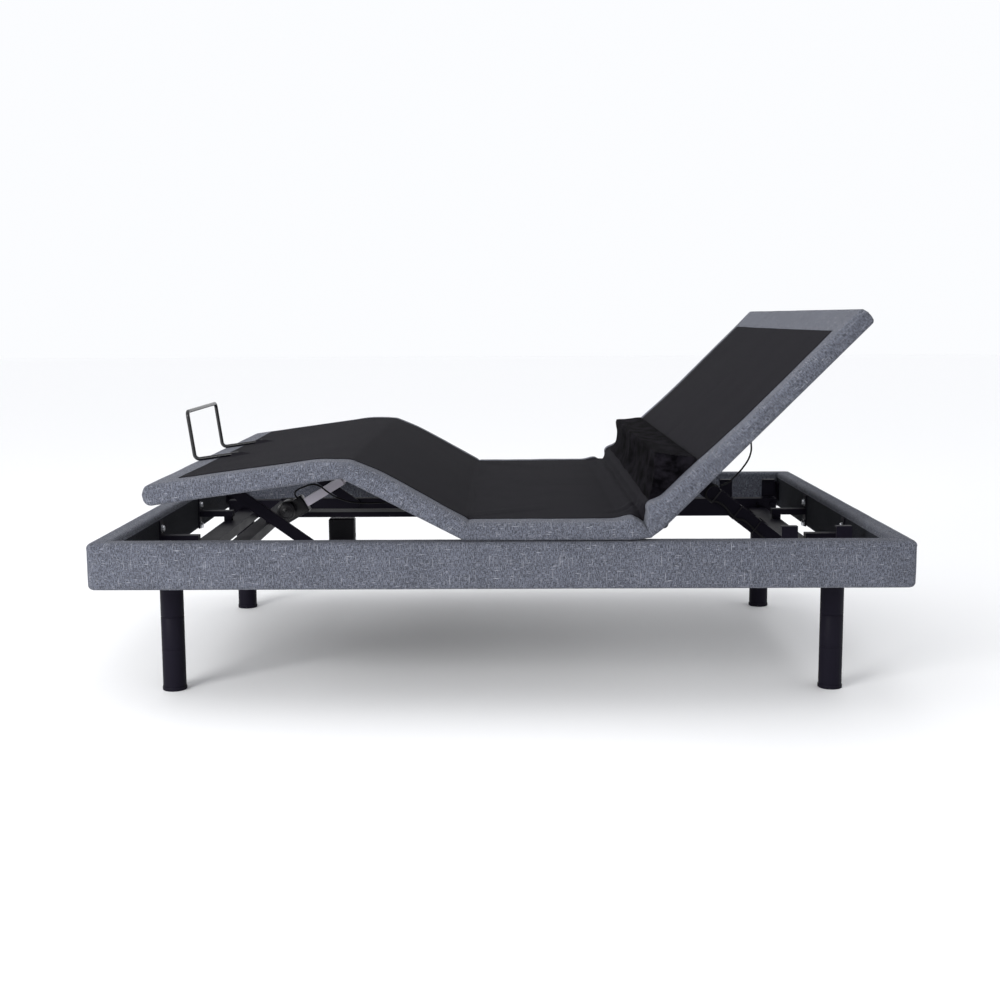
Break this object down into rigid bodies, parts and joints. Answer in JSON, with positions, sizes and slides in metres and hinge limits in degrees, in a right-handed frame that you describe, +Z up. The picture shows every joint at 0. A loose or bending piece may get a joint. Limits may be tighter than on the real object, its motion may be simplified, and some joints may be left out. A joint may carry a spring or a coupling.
{
  "type": "adjustable bed base",
  "caption": "Queen-size adjustable bed base: a padded fabric surround on four round legs, with an articulated deck that raises back and knees and slides towards the wall.",
  "frame": {"origin": "on the floor, under the middle of the surround", "axes": "+X to the head end, +Y to the far side, +Z up"},
  "size_m": [2.032, 1.524, 0.9877],
  "materials": {
    "linen": "woven linen-look upholstery over foam and board",
    "plush": "short-pile plush",
    "steel": "satin black powder coat",
    "aluminium": "brushed extrusion",
    "plastic": "fine moulded texture",
    "nylon": "smooth nylon",
    "cable": "matte cable jacket"
  },
  "bodies": {
    "root": {"side_rail_near": "linen", "side_rail_far": "linen", "foot_rail": "linen", "head_rail": "linen", "corner_bracket_foot_near": "steel", "corner_bracket_foot_far": "steel", "corner_bracket_head_near": "steel", "corner_bracket_head_far": "steel", "frame_side_near": "steel", "frame_side_far": "steel", "frame_end_foot": "steel", "frame_end_head": "steel", "rail_arm_foot_near": "steel", "rail_arm_foot_far": "steel", "rail_arm_head_near": "steel", "rail_arm_head_far": "steel", "deck_upright_1_near": "steel", "deck_upright_1_far": "steel", "deck_upright_2_near": "steel", "deck_upright_2_far": "steel", "leg_lower_foot_near": "steel", "leg_lower_foot_far": "steel", "leg_lower_head_near": "steel", "leg_lower_head_far": "steel", "leg_upper_foot_near": "steel", "leg_upper_foot_far": "steel", "leg_upper_head_near": "steel", "leg_upper_head_far": "steel", "glide_near": "nylon", "glide_far": "nylon", "strut_bracket_near": "steel", "strut_bracket_far": "steel"},
    "carriage": {"seat_panel": "linen", "carriage_beam_near": "steel", "carriage_beam_far": "steel", "carriage_cross_foot": "steel", "carriage_cross_mid": "steel", "carriage_cross_head": "steel", "control_box": "plastic", "drive_cable": "cable"},
    "back": {"back_panel": "linen", "back_frame": "steel", "lumbar_cover": "plush", "back_cable": "cable"},
    "lumbar": {"lumbar_board": "steel"},
    "thigh": {"thigh_panel": "linen", "thigh_frame": "steel"},
    "foot": {"foot_panel": "linen", "foot_frame": "steel", "mattress_retainer": "steel"},
    "struts": {"back_strut_near": "steel", "back_strut_far": "steel"},
    "foot_links": {"foot_link_near": "steel", "foot_link_far": "steel"},
    "leg_drive": {"leg_drive_housing": "plastic", "leg_drive_guide": "aluminium"},
    "leg_drive_rod": {"leg_drive_rod": "aluminium"},
    "head_drive": {"head_drive_housing": "plastic", "head_drive_guide": "aluminium"},
    "head_drive_rod": {"head_drive_rod": "aluminium"}
  },
  "joints": [
    {"name": "back_hinge", "type": "hinge", "parent": "carriage", "child": "back", "pos_m": [0.374, 0, 0.421], "axis": [0, -1, 0], "range_deg": [-45, 15], "deforming": ["back_cable"]},
    {"name": "carriage_slide", "type": "slide", "parent": "root", "child": "carriage", "axis": [1, 0, 0], "range_m": [-0.1027, 0.0343]},
    {"name": "thigh_hinge", "type": "hinge", "parent": "carriage", "child": "thigh", "pos_m": [-0.0939, 0, 0.421], "axis": [0, 1, 0], "range_deg": [-27.4, 7.6], "deforming": ["drive_cable"]},
    {"name": "knee_hinge", "type": "hinge", "parent": "thigh", "child": "foot", "pos_m": [-0.38937, 0, 0.57415], "axis": [0, 1, 0], "range_deg": [-9.85, 35.35]},
    {"name": "lumbar_hinge", "type": "hinge", "parent": "back", "child": "lumbar", "pos_m": [0.48714, 0, 0.62465], "axis": [0, 1, 0], "range_deg": [-45, 0], "deforming": ["lumbar_cover"]},
    {"name": "strut_pivot", "type": "hinge", "parent": "root", "child": "struts", "pos_m": [0.782, 0, 0.336], "axis": [0, 1, 0], "range_deg": [-25.8, 8.7]},
    {"name": "foot_link_pivot", "type": "hinge", "parent": "carriage", "child": "foot_links", "pos_m": [-0.489, 0, 0.362], "axis": [0, 1, 0], "range_deg": [-24, 6.7]},
    {"name": "leg_drive_pivot", "type": "hinge", "parent": "carriage", "child": "leg_drive", "pos_m": [-0.672, 0, 0.376], "axis": [0, -1, 0], "range_deg": [-27.9, 7.8]},
    {"name": "leg_drive_stroke", "type": "slide", "parent": "leg_drive", "child": "leg_drive_rod", "axis": [0.8576, 0, 0.5143], "range_m": [-0.0678, 0.0189]},
    {"name": "head_drive_pivot", "type": "hinge", "parent": "carriage", "child": "head_drive", "pos_m": [-0.018, 0, 0.392], "axis": [0, -1, 0], "range_deg": [-8.4, 2.8]},
    {"name": "head_drive_stroke", "type": "slide", "parent": "head_drive", "child": "head_drive_rod", "axis": [0.9982, 0, -0.0598], "range_m": [-0.0652, 0.0218]}
  ],
  "couplings": [
    {"joint": "carriage_slide", "follows": "back_hinge", "m_per_rad": 0.13051},
    {"joint": "strut_pivot", "follows": "back_hinge", "ratio": 0.572},
    {"joint": "head_drive_pivot", "follows": "back_hinge", "ratio": 0.1856},
    {"joint": "head_drive_stroke", "follows": "back_hinge", "m_per_rad": 0.082761},
    {"joint": "knee_hinge", "follows": "thigh_hinge", "ratio": -1.2883},
    {"joint": "foot_link_pivot", "follows": "thigh_hinge", "ratio": 0.8734},
    {"joint": "leg_drive_pivot", "follows": "thigh_hinge", "ratio": 1.015},
    {"joint": "leg_drive_stroke", "follows": "thigh_hinge", "m_per_rad": 0.14136}
  ]
}
